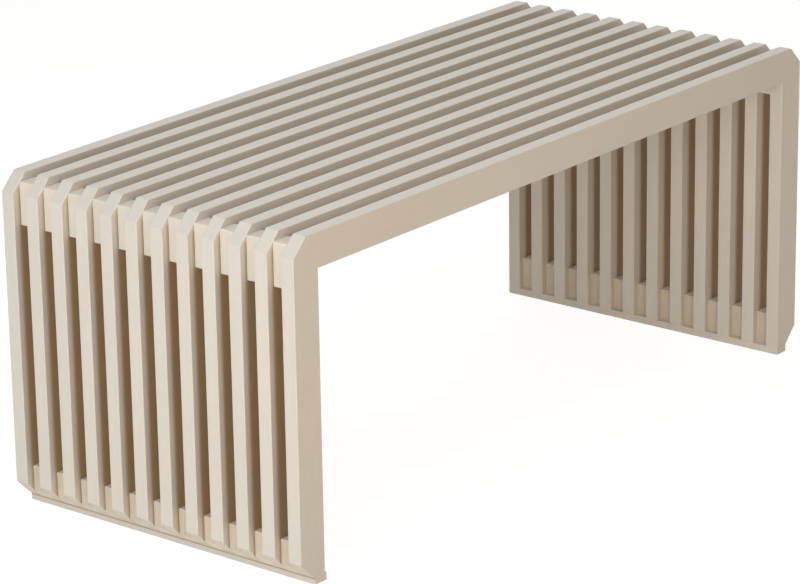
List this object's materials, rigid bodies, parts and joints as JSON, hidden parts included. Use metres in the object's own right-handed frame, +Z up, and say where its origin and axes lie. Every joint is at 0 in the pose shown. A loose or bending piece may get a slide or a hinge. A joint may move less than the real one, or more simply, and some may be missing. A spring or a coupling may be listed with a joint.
{
  "type": "slatted bench",
  "caption": "Slatted bench of U-shaped wooden slats held apart by spacer blocks, with chamfered corners and a foot strip under each row of legs.",
  "frame": {"origin": "on the floor, under the middle of the bench's length and width", "axes": "+X along the bench's length, +Y from the front slat to the back slat, +Z up"},
  "size_m": [1, 0.4328, 0.405],
  "materials": {
    "slat_lacquer": "satin cream lacquer over wood",
    "block_lacquer": "thin satin lacquer, the wood showing through",
    "foot_lacquer": "thin satin lacquer, the wood showing through",
    "strip_lacquer": "satin cream lacquer over wood",
    "dowel_wood": "bare hardwood dowel"
  },
  "bodies": {
    "root": {"slat_frame_01": "slat_lacquer", "slat_frame_02": "slat_lacquer", "slat_frame_03": "slat_lacquer", "slat_frame_04": "slat_lacquer", "slat_frame_05": "slat_lacquer", "slat_frame_06": "slat_lacquer", "slat_frame_07": "slat_lacquer", "slat_frame_08": "slat_lacquer", "slat_frame_09": "slat_lacquer", "slat_frame_10": "slat_lacquer", "slat_frame_11": "slat_lacquer", "slat_frame_12": "slat_lacquer", "corner_spacer_left_01": "block_lacquer", "corner_spacer_left_02": "block_lacquer", "corner_spacer_left_03": "block_lacquer", "corner_spacer_left_04": "block_lacquer", "corner_spacer_left_05": "block_lacquer", "corner_spacer_left_06": "block_lacquer", "corner_spacer_left_07": "block_lacquer", "corner_spacer_left_08": "block_lacquer", "corner_spacer_left_09": "block_lacquer", "corner_spacer_left_10": "block_lacquer", "corner_spacer_left_11": "block_lacquer", "corner_spacer_right_01": "block_lacquer", "corner_spacer_right_02": "block_lacquer", "corner_spacer_right_03": "block_lacquer", "corner_spacer_right_04": "block_lacquer", "corner_spacer_right_05": "block_lacquer", "corner_spacer_right_06": "block_lacquer", "corner_spacer_right_07": "block_lacquer", "corner_spacer_right_08": "block_lacquer", "corner_spacer_right_09": "block_lacquer", "corner_spacer_right_10": "block_lacquer", "corner_spacer_right_11": "block_lacquer", "foot_spacer_left_01": "foot_lacquer", "foot_spacer_left_02": "foot_lacquer", "foot_spacer_left_03": "foot_lacquer", "foot_spacer_left_04": "foot_lacquer", "foot_spacer_left_05": "foot_lacquer", "foot_spacer_left_06": "foot_lacquer", "foot_spacer_left_07": "foot_lacquer", "foot_spacer_left_08": "foot_lacquer", "foot_spacer_left_09": "foot_lacquer", "foot_spacer_left_10": "foot_lacquer", "foot_spacer_left_11": "foot_lacquer", "foot_spacer_right_01": "foot_lacquer", "foot_spacer_right_02": "foot_lacquer", "foot_spacer_right_03": "foot_lacquer", "foot_spacer_right_04": "foot_lacquer", "foot_spacer_right_05": "foot_lacquer", "foot_spacer_right_06": "foot_lacquer", "foot_spacer_right_07": "foot_lacquer", "foot_spacer_right_08": "foot_lacquer", "foot_spacer_right_09": "foot_lacquer", "foot_spacer_right_10": "foot_lacquer", "foot_spacer_right_11": "foot_lacquer", "foot_strip_left": "strip_lacquer", "foot_strip_right": "strip_lacquer", "tie_rod_left": "dowel_wood", "tie_rod_right": "dowel_wood"}
  },
  "joints": []
}
